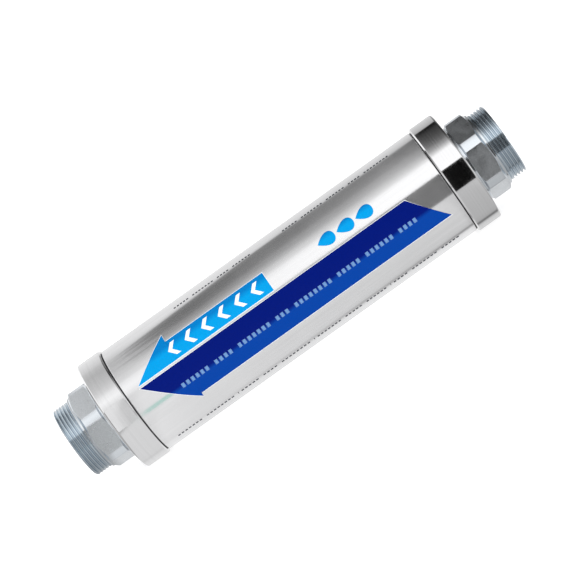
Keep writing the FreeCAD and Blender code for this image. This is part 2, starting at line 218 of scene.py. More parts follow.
def grid_faces(rows: int, columns: int, closed: bool) -> np.ndarray:
    """Quads of a grid of points, one for each cell.

    Args:
        rows: the number of rows.
        columns: the number of columns.
        closed: whether the last row joins the first.

    Returns:
        An array (quads, 4) of indices.
    """
    r = np.arange(rows if closed else rows - 1)[:, None]
    c = np.arange(columns - 1)[None, :]
    r2 = (r + 1) % rows
    return np.stack([r * columns + c, r * columns + c + 1, r2 * columns + c + 1, r2 * columns + c],
                    -1).reshape(-1, 4)


def make_object(name: str, vertices: np.ndarray, faces: np.ndarray,
                grain: np.ndarray | None = None) -> Piece:
    """A smooth-shaded mesh object at the origin, with coincident points welded.

    Args:
        name: the piece's name.
        vertices: (n, 3) points in metres.
        faces: (m, 4) indices.
        grain: optional value from 0 to 1 for each point, stored as the attribute "grain".

    Returns:
        The object, linked to the scene.
    """
    mesh = bpy.data.meshes.new(name)
    mesh.from_pydata(vertices.tolist(), [], faces.tolist())
    if grain is not None:
        layer = mesh.attributes.new("grain", "FLOAT", "POINT")
        layer.data.foreach_set("value", grain.astype(np.float32))
    weld = bmesh.new()
    weld.from_mesh(mesh)
    bmesh.ops.remove_doubles(weld, verts=weld.verts, dist=WELD)
    weld.to_mesh(mesh)
    weld.free()
    mesh.polygons.foreach_set("use_smooth", np.ones(len(mesh.polygons), dtype=bool))
    mesh.update()
    piece = bpy.data.objects.new(name, mesh)
    bpy.context.scene.collection.objects.link(piece)
    return piece


def turned_piece(name: str, rows: np.ndarray, angle: np.ndarray, side: int = 1,
                 grain: np.ndarray | None = None) -> Piece:
    """A closed surface carried round the X axis.

    The point of row i and angle t is (side * x, r cos t, r sin t), with x and r from rows[i] at that angle.

    Args:
        name: the piece's name.
        rows: (rows, angles, 2) of x and radius in millimetres, which close on themselves.
        angle: angles in radians, a whole turn with both ends.
        side: +1 at the inlet end, -1 at the outlet end.
        grain: optional (rows, angles) values for the attribute "grain".

    Returns:
        The object.
    """
    x, r = rows[..., 0], rows[..., 1]
    points = np.stack([side * x, r * np.cos(angle), r * np.sin(angle)], axis=-1).reshape(-1, 3) * MM
    faces = outward(points, grid_faces(rows.shape[0], rows.shape[1], closed=True))
    return make_object(name, points, faces, None if grain is None else grain.ravel())


def on_tube(x: np.ndarray, up: np.ndarray, radius: float) -> np.ndarray:
    """Points on a cylinder about X, in metres.

    The point is (x, -r cos a, r sin a), where a is the angle up from the front.

    Args:
        x: places along the axis in millimetres.
        up: angles up from the label's middle in degrees.
        radius: the cylinder's radius in millimetres.

    Returns:
        An array (..., 3).
    """
    a = np.radians(up + LABEL_TILT)
    return np.stack([x, -radius * np.cos(a), radius * np.sin(a)], axis=-1) * MM


def band(x: np.ndarray, low: np.ndarray, high: np.ndarray, radius: float, columns: int) -> Patch:
    """A patch on the tube between two edges.

    The point of station i and share v is at x[i], low[i] + v * (high[i] - low[i]).

    Args:
        x: stations along the axis in millimetres.
        low: lower edge at each station, in degrees up from the label's middle.
        high: upper edge at each station.
        radius: the patch's radius in millimetres.
        columns: the number of points from edge to edge.

    Returns:
        Points (n, 3) in metres and quads (m, 4), facing away from the axis.
    """
    v = np.linspace(0.0, 1.0, columns)[None, :]
    up = low[:, None] + v * (high - low)[:, None]
    points = on_tube(np.broadcast_to(x[:, None], up.shape), up, radius).reshape(-1, 3)
    return points, facing_out(points, grid_faces(len(x), columns, closed=False))


def facing_out(points: np.ndarray, faces: np.ndarray) -> np.ndarray:
    """Faces of a patch on the tube, turned to face away from the axis.

    The normals (c - a) x (d - b) are summed against the points' directions from the axis.

    Args:
        points: (n, 3) points.
        faces: (m, 4) indices.

    Returns:
        The faces, reversed if they faced the axis.
    """
    a, b, c, d = (points[faces[:, k]] for k in range(4))
    normal = np.cross(c - a, d - b)
    middle = (a + b + c + d) * np.array([0.0, 1.0, 1.0])
    return faces if np.einsum("ij,ij->", normal, middle) > 0 else faces[:, ::-1]


def film_piece(name: str, patches: Iterable[Patch], thickness: float) -> Piece:
    """Patches joined to one printed film and given a thickness outwards.

    Args:
        name: the piece's name.
        patches: (points, quads) of each patch.
        thickness: the film's thickness in millimetres.

    Returns:
        The object.
    """
    points, faces, count = [], [], 0
    for p, f in patches:
        points.append(p)
        faces.append(f + count)
        count += len(p)
    piece = make_object(name, np.concatenate(points), np.concatenate(faces))
    solid = piece.modifiers.new("thickness", "SOLIDIFY")
    solid.thickness = thickness * MM
    solid.offset = 1.0
    solid.use_even_offset = False
    return piece


# ---------------------------------------------------------------- finishes


class Nodes:
    """Short ways to build a material's nodes."""

    def __init__(self, name: str) -> None:
        """Starts a material with one Principled shader.

        Args:
            name: the material's name.
        """
        self.material = bpy.data.materials.new(name)
        self.material.use_nodes = True
        self.tree = self.material.node_tree
        self.shader = self.tree.nodes["Principled BSDF"]
        self.place = self.add("ShaderNodeTexCoord").outputs["Object"]

    def add(self, kind: str, **settings: object) -> bpy.types.Node:
        """A new node with its settings, such as operation="ADD"."""
        node = self.tree.nodes.new(kind)
        for key, value in settings.items():
            setattr(node, key, value)
        return node

    def feed(self, socket: Socket, value: object) -> None:
        """Links an output to the socket, or sets the socket to a plain value."""
        if isinstance(value, Socket):
            self.tree.links.new(value, socket)
        else:
            socket.default_value = value

    def math(self, operation: str, *values: object) -> Socket:
        """The result of a Math node."""
        node = self.add("ShaderNodeMath", operation=operation)
        for socket, value in zip(node.inputs, values):
            self.feed(socket, value)
        return node.outputs[0]

    def noise(self, vector: object, scale: float, detail: float = 4.0,
              rough: float = 0.6) -> Socket:
        """A noise value from 0 to 1."""
        node = self.add("ShaderNodeTexNoise")
        for key, value in (("Vector", vector), ("Scale", scale), ("Detail", detail), ("Roughness", rough)):
            self.feed(node.inputs[key], value)
        return node.outputs["Fac"]

    def ramp(self, factor: object, stops: Sequence[tuple[float, Sequence[float]]]) -> Socket:
        """A colour looked up between stops of (place, colour)."""
        node = self.add("ShaderNodeValToRGB")
        self.feed(node.inputs[0], factor)
        elements = node.color_ramp.elements
        while len(elements) < len(stops):
            elements.new(1.0)
        for element, (where, colour) in zip(elements, stops):
            element.position = where
            element.color = (*colour[:3], 1.0)
        return node.outputs[0]

    def range(self, value: object, low: float, high: float, to_low: float,
              to_high: float) -> Socket:
        """A value moved from one range to another, clamped."""
        node = self.add("ShaderNodeMapRange")
        for socket, item in zip(node.inputs, (value, low, high, to_low, to_high)):
            self.feed(socket, item)
        return node.outputs[0]

    def spread(self, noise: object, low: float, high: float) -> Socket:
        """A noise value, stretched to run from low to high."""
        return self.range(noise, NOISE_LOW, NOISE_HIGH, low, high)

    def mix(self, factor: object, a: object, b: object) -> Socket:
        """A colour between a and b."""
        node = self.add("ShaderNodeMix", data_type="RGBA")
        for index, value in ((0, factor), (6, a), (7, b)):
            self.feed(node.inputs[index], value)
        return node.outputs[2]

    def multiply(self, a: object, b: object) -> Socket:
        """The product of two colours."""
        node = self.add("ShaderNodeMix", data_type="RGBA", blend_type="MULTIPLY")
        for index, value in ((0, 1.0), (6, a), (7, b)):
            self.feed(node.inputs[index], value)
        return node.outputs[2]

    def split(self) -> tuple[Socket, Socket, Socket]:
        """The object coordinates as three values."""
        node = self.add("ShaderNodeSeparateXYZ")
        self.feed(node.inputs[0], self.place)
        return node.outputs[0], node.outputs[1], node.outputs[2]

    def join(self, *values: object) -> Socket:
        """A vector of three values."""
        node = self.add("ShaderNodeCombineXYZ")
        for socket, value in zip(node.inputs, values):
            self.feed(socket, value)
        return node.outputs[0]

    def tool_marks(self, scale: float, detail: float, rough: float) -> Socket:
        """Noise of the place along the axis and the distance from it, so that it runs in rings round X."""
        x, y, z = self.split()
        radius = self.math("SQRT", self.math("ADD", self.math("MULTIPLY", y, y), self.math("MULTIPLY", z, z)))
        place = self.join(self.math("MULTIPLY", x, scale), self.math("MULTIPLY", radius, scale), 0.0)
        return self.noise(place, 1.0, detail, rough)

    def stretched(self, x: float, y: float, z: float) -> Socket:
        """The object coordinates, scaled along each axis."""
        node = self.add("ShaderNodeMapping")
        self.feed(node.inputs["Vector"], self.place)
        node.inputs["Scale"].default_value = (x, y, z)
        return node.outputs[0]

    def bump(self, height: object, depth: float, strength: float = 1.0) -> None:
        """Feeds a height, in shares of `depth` millimetres, to the shader's normal."""
        node = self.add("ShaderNodeBump")
        node.inputs["Strength"].default_value = strength
        node.inputs["Distance"].default_value = depth * MM
        self.feed(node.inputs["Height"], height)
        self.feed(self.shader.inputs["Normal"], node.outputs[0])

    def set(self, **values: object) -> None:
        """Sets or links the shader's sockets, with spaces written as underscores."""
        for key, value in values.items():
            self.feed(self.shader.inputs[key.replace("_", " ")], value)


def greys(stops: Iterable[tuple[float, float]]) -> list[tuple[float, Colour]]:
    """Stops of (place, brightness) as a ramp takes them."""
    return [(place, (level,) * 3) for place, level in stops]


def shade(colour: Colour, share: float = 1.0) -> tuple[float, ...]:
    """The colour at a share of its strength, with full alpha."""
    return tuple(c * share for c in colour) + (1.0,)


@dataclass(frozen=True)
class PolishedSteel:
    """Mirror-polished stainless steel with faint marks left by the polishing wheel."""

    name: str
    grain: Grain
    colour: Colour = (0.83, 0.83, 0.84)
    roughness: float = 0.055
    streak: float = 0.05
    haze: float = 0.0  # the share of a dull film over the polish

    def material(self) -> bpy.types.Material:
        """Builds the finish.

        Returns:
            The material.
        """
        n = Nodes(self.name)
        if self.grain is Grain.ALONG:
            lines = n.noise(n.stretched(9.0, 420.0, 420.0), 1.0, 6.0, 0.7)
            broad = n.noise(n.stretched(14.0, 90.0, 90.0), 1.0, 3.0, 0.5)
        else:
            lines = n.tool_marks(2600.0, 4.0, 0.7)
            broad = n.noise(n.place, 60.0, 3.0, 0.5)
        clouds = n.noise(n.place, 45.0, 5.0, 0.65)
        tone = n.mix(n.spread(lines, 0.0, 1.0), shade(self.colour, 0.93), shade(self.colour))
        rough = n.math("ADD", n.spread(lines, self.roughness, self.roughness + 0.05),
                       n.range(clouds, 0.45, 0.7, 0.0, 0.05))
        film = n.range(clouds, 0.35, 0.7, 1.0 - self.haze * 1.3, 1.0 - self.haze * 0.7)
        n.set(Base_Color=tone, Metallic=film, Roughness=rough)
        n.bump(n.math("ADD", lines, n.math("MULTIPLY", broad, 2.0)), self.streak * 0.05, 0.5)
        return n.material


@dataclass(frozen=True)
class NickelPlate:
    """Bright nickel over turned brass, with grainy, duller wrench flats where "grain" is 1, and painted shade
    on the threads.
    """

    name: str = "nickel_plate"
    colour: Colour = (0.76, 0.8, 0.84)
    flat_colour: Colour = (0.78, 0.81, 0.84)
    # painted shade: the threads are the same nickel made darker, standing in for the shade in their grooves
    shaded_thread_colour: Colour = (0.56, 0.63, 0.69)
    thread_start: float = 103.05

    def material(self) -> bpy.types.Material:
        """Builds the finish.

        Returns:
            The material.
        """
        n = Nodes(self.name)
        flat = n.add("ShaderNodeAttribute", attribute_name="grain").outputs["Fac"]
        x = n.split()[0]
        turned = n.tool_marks(3000.0, 3.0, 0.6)
        pits = n.noise(n.place, 2600.0, 5.0, 0.75)
        patches = n.noise(n.place, 260.0, 3.0, 0.6)
        smooth = n.mix(n.spread(turned, 0.0, 1.0), shade(self.colour, 0.94), shade(self.colour))
        start = self.thread_start * MM
        thread = n.range(n.math("ABSOLUTE", x), start, start + 0.1 * MM, 0.0, 1.0)
        # past thread_start the nickel turns to the darker thread colour, a painted shade
        plain = n.mix(thread, smooth, shade(self.shaded_thread_colour))
        grainy = n.mix(n.range(pits, 0.35, 0.65, 0.0, 1.0), shade(self.flat_colour, 0.72),
                       shade(self.flat_colour))
        rough_plain = n.spread(turned, 0.09, 0.17)
        rough_flat = n.spread(patches, 0.27, 0.4)
        blend = n.math("ADD", rough_plain,
                       n.math("MULTIPLY", flat, n.math("SUBTRACT", rough_flat, rough_plain)))
        n.set(Base_Color=n.mix(flat, plain, grainy), Metallic=1.0, Roughness=blend)
        height = n.math("ADD", n.math("MULTIPLY", turned, 0.06), n.math("MULTIPLY", pits, flat))
        n.bump(height, 0.03, 0.6)
        return n.material


@dataclass(frozen=True)
class Ink:
    """Satin ink over polished metal, darker above an angle up from the label's middle and lighter below it: a
    painted reflection of dark surroundings above and the pale floor below.
    """

    name: str
    # above and below are the ink's colour with a painted reflection of dark surroundings (above) and of the
    # pale floor (below)
    above: Colour
    below: Colour
    reflection_split_up: float = 0.0
    spread: float = 2.0
    roughness: float = 0.22

    def material(self) -> bpy.types.Material:
        """Builds the finish.

        Returns:
            The material.
        """
        n = Nodes(self.name)
        _, y, z = n.split()
        up = n.math("ARCTAN2", z, n.math("MULTIPLY", y, -1.0))
        middle = math.radians(self.reflection_split_up + LABEL_TILT)
        half = math.radians(self.spread)
        share = n.range(up, middle - half, middle + half, 0.0, 1.0)
        grain = n.noise(n.place, 1800.0, 3.0, 0.6)
        clouds = n.noise(n.place, 120.0, 3.0, 0.5)
        # painted reflection: lighter below the split where the floor would be mirrored, darker above it where
        # dark surroundings would be
        tone = n.mix(share, shade(self.below), shade(self.above))
        deeper = n.mix(0.12, tone, (0.0, 0.0, 0.02, 1.0))
        n.set(Base_Color=n.mix(n.spread(grain, 0.0, 1.0), deeper, tone), Specular_IOR_Level=0.04,
              Roughness=n.spread(clouds, self.roughness, self.roughness + 0.06))
        n.bump(grain, 0.004, 0.35)
        return n.material


@dataclass(frozen=True)
class MachinedMetal:
    """Turned or sawn bare metal, with tool marks round the axis and slight stains."""

    name: str
    colour: Colour
    roughness: float = 0.3
    stain: Colour = (0.4, 0.4, 0.4)

    def material(self) -> bpy.types.Material:
        """Builds the finish.

        Returns:
            The material.
        """
        n = Nodes(self.name)
        marks = n.tool_marks(2200.0, 3.0, 0.6)
        stains = n.noise(n.place, 140.0, 5.0, 0.65)
        tone = n.mix(n.range(stains, 0.5, 0.8, 0.0, 0.6), shade(self.colour), shade(self.stain))
        n.set(Base_Color=tone, Metallic=1.0,
              Roughness=n.spread(marks, self.roughness, self.roughness + 0.15))
        n.bump(marks, 0.008, 0.5)
        return n.material


@dataclass(frozen=True)
class Moulding:
    """Moulded rubber or plastic: a matt skin with a fine spark-eroded grain."""

    name: str
    colour: Colour
    roughness: float = 0.5
    grain_size: float = 900.0

    def material(self) -> bpy.types.Material:
        """Builds the finish.

        Returns:
            The material.
        """
        n = Nodes(self.name)
        skin = n.noise(n.place, self.grain_size, 4.0, 0.6)
        dust = n.noise(n.place, 90.0, 4.0, 0.6)
        dusty = tuple(0.8 * c + 0.06 for c in self.colour) + (1.0,)
        tone = n.mix(n.range(dust, 0.4, 0.75, 0.0, 0.35), shade(self.colour), dusty)
        n.set(Base_Color=tone, Roughness=n.spread(skin, self.roughness, self.roughness + 0.15))
        n.bump(skin, 0.03, 0.4)
        return n.material


STEEL_TUBE = PolishedSteel("polished_tube", Grain.ALONG, roughness=0.09, haze=0.08)
STEEL_CAP = PolishedSteel("polished_cap", Grain.ROUND)
NICKEL = NickelPlate()
# the upper and lower tones of these two inks are a painted reflection, not two inks
DARK_INK = Ink("dark_blue_ink", above=(0.0, 0.007, 0.15), below=(0.0, 0.045, 0.3), reflection_split_up=-15.0)
LIGHT_INK = Ink("light_blue_ink", above=(0.0, 0.18, 0.5), below=(0.0, 0.3, 0.68), reflection_split_up=23.0, spread=3.0)
WHITE_INK = Ink("white_ink", above=(0.9, 0.93, 0.95), below=(0.9, 0.93, 0.95))
SILVER_INK = Ink("silver_ink", above=(0.16, 0.28, 0.52), below=(0.14, 0.27, 0.52))
BLACK_INK = Ink("black_ink", above=(0.03, 0.035, 0.045), below=(0.03, 0.035, 0.045))
RUBBER = Moulding("black_rubber", (0.022, 0.022, 0.024), roughness=0.5)
ACETAL = Moulding("white_acetal", (0.8, 0.79, 0.75), roughness=0.32, grain_size=500.0)


# ---------------------------------------------------------------- the filter's own pieces


def settle(piece: Piece, finish: object, body: str, slot: str, *nodes: str) -> None:
    """Dresses a piece, and says which body carries it and which nodes it stands for.

    Args:
        piece: the new piece.
        finish: a finish with a material method, or a material.
        body: the body that the piece rides on.
        slot: the record's material slot; not used.
        nodes: the nodes that the piece replaces.
    """
    material = finish if isinstance(finish, bpy.types.Material) else finish.material()
    piece.data.materials.append(material)
    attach(piece, body)
    if nodes:
        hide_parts(*nodes)
    log.info("%s rides on %s", piece.name, body)


def reach_of(node: str) -> tuple[float, float]:
    """How near and how far from the filter's middle a node comes along X, in millimetres."""
    low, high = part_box(node)
    near, far = sorted((abs(low.x), abs(high.x)))
    return near / MM, far / MM


@dataclass
class Housing:
    """The polished tube."""

    wall: float = 3.0
    edge: float = 0.3
    angle_step: float = 1.25
    half_length: float = field(init=False)
    radius: float = field(init=False)

    def __post_init__(self) -> None:
        """Reads the tube's length and radius from its node."""
        _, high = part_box("housing_tube")
        self.half_length = high.x / MM
        self.radius = high.z / MM

    def build(self) -> Piece:
        """Makes the tube: a rectangle with rounded corners, carried round the axis.

        Returns:
            The tube.
        """
        angle = closed_turn(self.angle_step)
        end, outer, bore = self.half_length, self.radius, self.radius - self.wall
        stations = np.linspace(-end, end, 9)[1:-1]
        rows = rounded_rows(
            [(0.0, bore, 0), (-end, bore, self.edge), (-end, outer, self.edge)]
            + [(x, outer, 0.01) for x in stations]
            + [(end, outer, self.edge), (end, bore, self.edge), (1.0, bore, 0)],
            len(angle),
        )
        return turned_piece("housing_tube_polished", rows, angle)

    def dress(self, piece: Piece) -> None:
        """Gives the tube its finish and its body."""
        settle(piece, STEEL_TUBE, "housing", "polished_steel", "housing_tube")


@dataclass
class EndCap:
    """A collar cap with a threaded, O-ring sealed spigot."""

    end: End
    spigot_pitch: float = 1.5
    spigot_wall: float = 3.0
    plain_length: float = 5.0
    groove_width: float = 2.5
    groove_depth: float = 1.95
    seal_thickness: float = 1.5
    seal_recess_radius: float = 17.4
    stub_radius: float = 15.05
    stub_end_depth: float = 10.1
    bore_radius: float = 13.0
    bore_land: float = 1.0
    inner_bevel: float = 0.55
    outer_bevel: float = 0.6
    clearance: float = 0.05
    angle_step: float = 1.5
    spigot_end: float = field(init=False)
    flange_face: float = field(init=False)
    face: float = field(init=False)
    radius: float = field(init=False)
    spigot_radius: float = field(init=False)

    def __post_init__(self) -> None:
        """Reads the cap's place and radius from its node and its gasket's."""
        self.spigot_end, self.face = reach_of(f"{self.end.label}_end_cap")
        self.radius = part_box(f"{self.end.label}_end_cap")[1].z / MM
        self.flange_face = reach_of(f"{self.end.label}_flange_gasket")[1]
        self.spigot_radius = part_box("housing_tube")[1].z / MM - Housing.wall - self.clearance

    def build(self) -> Piece:
        """Makes the cap: a closed profile with a helical thread on its spigot, carried round the axis.

        Returns:
            The cap.
        """
        angle = closed_turn(self.angle_step)
        count = len(angle)
        hand = self.end.value
        crest = self.spigot_radius
        root = crest - THREAD_DEPTH * self.spigot_pitch
        mouth = root - self.spigot_wall
        groove = self.flange_face - self.plain_length / 2
        thread_end = self.flange_face - self.plain_length
        nose = rounded_rows(
            [(self.spigot_end + 0.5, mouth, 0), (self.spigot_end, mouth, 0.3),
             (self.spigot_end, root - 0.4, 0.2), (self.spigot_end + 0.5, root + 0.1, 0.1),
             (self.spigot_end + 0.7, root + 0.1, 0)],
            count,
        )
        thread = thread_rows(self.spigot_end + 0.7, thread_end, crest, self.spigot_pitch, angle, hand,
                             fade=-1.2)
        body = rounded_rows(
            [
                (thread_end + 0.02, crest, 0),
                (groove - self.groove_width / 2, crest, 0.15),
                (groove - self.groove_width / 2, crest - self.groove_depth, 0.2),
                (groove + self.groove_width / 2, crest - self.groove_depth, 0.2),
                (groove + self.groove_width / 2, crest, 0.15),
                (self.flange_face, crest, 0.1),
                (self.flange_face, self.radius - self.inner_bevel, 0.1),
                (self.flange_face + self.inner_bevel, self.radius, 0.12),
                (self.face - self.outer_bevel, self.radius, 0.3),
                (self.face, self.radius - self.outer_bevel, 0.3),
                (self.face, self.seal_recess_radius, 0.12),
                (self.face - self.seal_thickness, self.seal_recess_radius, 0.1),
                (self.face - self.seal_thickness, self.stub_radius, 0.1),
                (self.face - self.stub_end_depth, self.stub_radius, 0.1),
                (self.face - self.stub_end_depth, self.bore_radius, 0.1),
                (self.face - self.stub_end_depth - self.bore_land, self.bore_radius, 0.4),
                (self.spigot_end + 0.6, mouth - 0.02, 0),
            ],
            count,
        )
        rows = np.concatenate([nose, thread, body])
        return turned_piece(f"{self.end.label}_cap_polished", rows, angle, hand)

    def dress(self, piece: Piece) -> None:
        """Gives the cap its finish and its body."""
        settle(piece, STEEL_CAP, f"{self.end.label}_cap", "polished_steel", f"{self.end.label}_end_cap")


@dataclass
class HexNipple:
    """A nipple turned from round bar, with six milled flats and a male pipe thread."""

    end: End
    bore_radius: float = 12.5
    stub_radius: float = 15.0
    stub_pitch: float = 1.5
    seal_thickness: float = 1.5
    collar_radius: float = 18.0
    collar_length: float = 1.3
    collar_groove: float = 0.3
    hex_length: float = 9.6
    flat_radius: float = 17.5
    corner_radius: float = 19.0
    chamfer_angle: float = 33.0
    shoulder_length: float = 0.8
    shoulder_radius: float = 17.25
    port_radius: float = 16.5
    port_pitch: float = 1.5
    mouth: float = 0.8
    edge: float = 0.14
    edge_angle: float = 1.1
    inlet_turn: float = 11.0
    outlet_turn: float = 16.3
    cap_face: float = field(init=False)
    stub_end: float = field(init=False)
    face: float = field(init=False)
    turn: float = field(init=False)

    def __post_init__(self) -> None:
        """Reads the nipple's place from its node, and sets how far its first flat is turned up."""
        self.stub_end, self.face = reach_of(f"{self.end.label}_nipple")
        self.cap_face = reach_of(f"{self.end.label}_end_cap")[1]
        self.turn = LABEL_TILT - (self.inlet_turn if self.end is End.INLET else self.outlet_turn)

    def angles(self) -> np.ndarray:
        """Angles of a whole turn, with extra ones at the edges of the six flats.

        A flat covers arccos(flat radius / corner radius) to each side of its normal.

        Returns:
            Angles in radians, both ends included.
        """
        half = math.degrees(math.acos(self.flat_radius / self.corner_radius))
        inside = np.linspace(-half + self.edge_angle, half - self.edge_angle, 21)
        outside = np.linspace(half + self.edge_angle, 60.0 - half - self.edge_angle, 8)
        sector = np.concatenate([[-half], inside, [half], outside])
        first = 180.0 - self.turn
        whole = (first + np.arange(6)[:, None] * 60.0 + sector[None, :]).ravel()
        return np.radians(np.append(whole, whole[0] + 360.0))

    def build(self) -> Piece:
        """Makes the nipple: a closed profile that changes with the angle, carried round the axis.

        At an angle t from a flat's normal the hex has the radius min(corner radius, flat radius / cos t). The
        chamfers at its ends are cones, so they meet the flats in arcs.

        Returns:
            The nipple.
        """
        angle = self.angles()
        count = len(angle)
        hand = self.end.value
        first = math.radians(180.0 - self.turn)
        off = (angle - first + TURN / 12) % (TURN / 6) - TURN / 12
        reach = self.flat_radius / np.cos(off)
        hexed = np.minimum(self.corner_radius, reach)
        slope = math.tan(math.radians(self.chamfer_angle))
        collar_face = self.cap_face + self.collar_length
        hex_face = collar_face + self.hex_length
        shoulder_face = hex_face + self.shoulder_length
        inner_chamfer = np.maximum(hexed - self.collar_radius, 0.0) * slope
        outer_chamfer = (hexed - self.shoulder_radius) * slope
        groove = self.cap_face + (self.collar_length - self.collar_groove) / 2
        e = self.edge
        stub_start = rounded_rows(
            [(self.stub_end + 0.5, self.bore_radius, 0), (self.stub_end, self.bore_radius, 0.3),
             (self.stub_end, self.stub_radius - 1.0, 0.2), (self.stub_end + 0.6, self.stub_radius - 0.85, 0)],
            count,
        )
        stub = thread_rows(self.stub_end + 0.6, self.cap_face - self.seal_thickness, self.stub_radius,
                           self.stub_pitch, angle, hand, fade=-1.0)
        hex_rows = rounded_rows(
            [
                (self.cap_face - self.seal_thickness + 0.02, self.stub_radius, 0),
                (self.cap_face, self.stub_radius, 0.1),
                (self.cap_face, self.collar_radius, e),
                (groove, self.collar_radius, 0.08),
                (groove, self.collar_radius - 0.35, 0.05),
                (groove + self.collar_groove, self.collar_radius - 0.35, 0.05),
                (groove + self.collar_groove, self.collar_radius, 0.08),
                (collar_face, self.collar_radius, 0.1),
                (collar_face + 0.01 + inner_chamfer, hexed, e),
                (hex_face - outer_chamfer, hexed, e),
                (hex_face, self.shoulder_radius, 0.1),
                (shoulder_face, self.shoulder_radius, 0.2),
                (shoulder_face, self.port_radius - 0.45, 0.1),
                (shoulder_face + 0.45, self.port_radius - 0.45, 0.1),
                (shoulder_face + 0.55, self.port_radius, 0),
            ],
            count,
        )
        port = thread_rows(shoulder_face + 0.56, self.face - 0.5, self.port_radius, self.port_pitch, angle,
                           hand, fade=0.6)
        mouth = rounded_rows(
            [(self.face - 0.49, self.port_radius - 0.1, 0), (self.face, self.port_radius - 0.75, 0.15),
             (self.face, self.bore_radius + self.mouth, 0.15),
             (self.face - self.mouth, self.bore_radius, 0.2),
             (self.stub_end + 0.6, self.bore_radius, 0)],
            count,
        )
        rows = np.concatenate([stub_start, stub, hex_rows, port, mouth])
        between = (rows[..., 0] > collar_face + 0.02) & (rows[..., 0] < hex_face - 0.02)
        on_hex = between & (rows[..., 1] > self.bore_radius + 3)
        on_flat = np.abs(rows[..., 1] - reach) < 0.01
        grain = (on_hex & on_flat).astype(float)
        return turned_piece(f"{self.end.label}_nipple_plated", rows, angle, hand, grain)

    def dress(self, piece: Piece) -> None:
        """Gives the nipple its finish and its body."""
        settle(piece, NICKEL, f"{self.end.label}_cap", "nickel_plate", f"{self.end.label}_nipple")


@dataclass
class EndSeals:
    """The rings of one end: the gasket in the seam and the O-ring on the cap's spigot."""

    end: End
    angle_step: float = 2.5

    def ring(self, node: str, name: str, rounding: float, shrink: float = 0.0) -> Piece:
        """Makes a rubber ring: a rectangle with rounded corners, carried round the axis.

        Args:
            node: the node whose place and width the ring takes.
            name: the ring's name.
            rounding: the rounding of its corners in millimetres.
            shrink: how far its sides draw in.

        Returns:
            The ring.
        """
        node_object = frame["nodes"][node]
        points = np.empty(len(node_object.data.vertices) * 3)
        node_object.data.vertices.foreach_get("co", points)
        points = points.reshape(-1, 3) / MM
        radius = np.hypot(points[:, 1], points[:, 2])
        x = np.abs(points[:, 0])
        x0, x1, r0, r1 = x.min() + shrink, x.max() - shrink, radius.min(), radius.max()
        angle = closed_turn(self.angle_step)
        middle = (r0 + r1) / 2
        rows = rounded_rows(
            [(x0, middle, 0), (x0, r0, rounding), (x1, r0, rounding), (x1, r1, rounding), (x0, r1, rounding),
             (x0, middle + 0.01, 0)],
            len(angle), 6,
        )
        return turned_piece(name, rows, angle, self.end.value)

    def build(self) -> list[tuple[Piece, str, str]]:
        """Makes the gasket and the O-ring.

        Returns:
            (ring, body, node) of each.
        """
        label = self.end.label
        gasket = self.ring(f"{label}_flange_gasket", f"{label}_seam_gasket", 0.12)
        o_ring = self.ring(f"{label}_cap_o_ring", f"{label}_spigot_o_ring", 1.2)
        return [(gasket, f"{label}_gasket", f"{label}_flange_gasket"),
                (o_ring, f"{label}_cap", f"{label}_cap_o_ring")]

    def dress(self, rings: list[tuple[Piece, str, str]]) -> None:
        """Gives the rings their finish and bodies."""
        for piece, body, node in rings:
            settle(piece, RUBBER, body, "black_rubber", node)


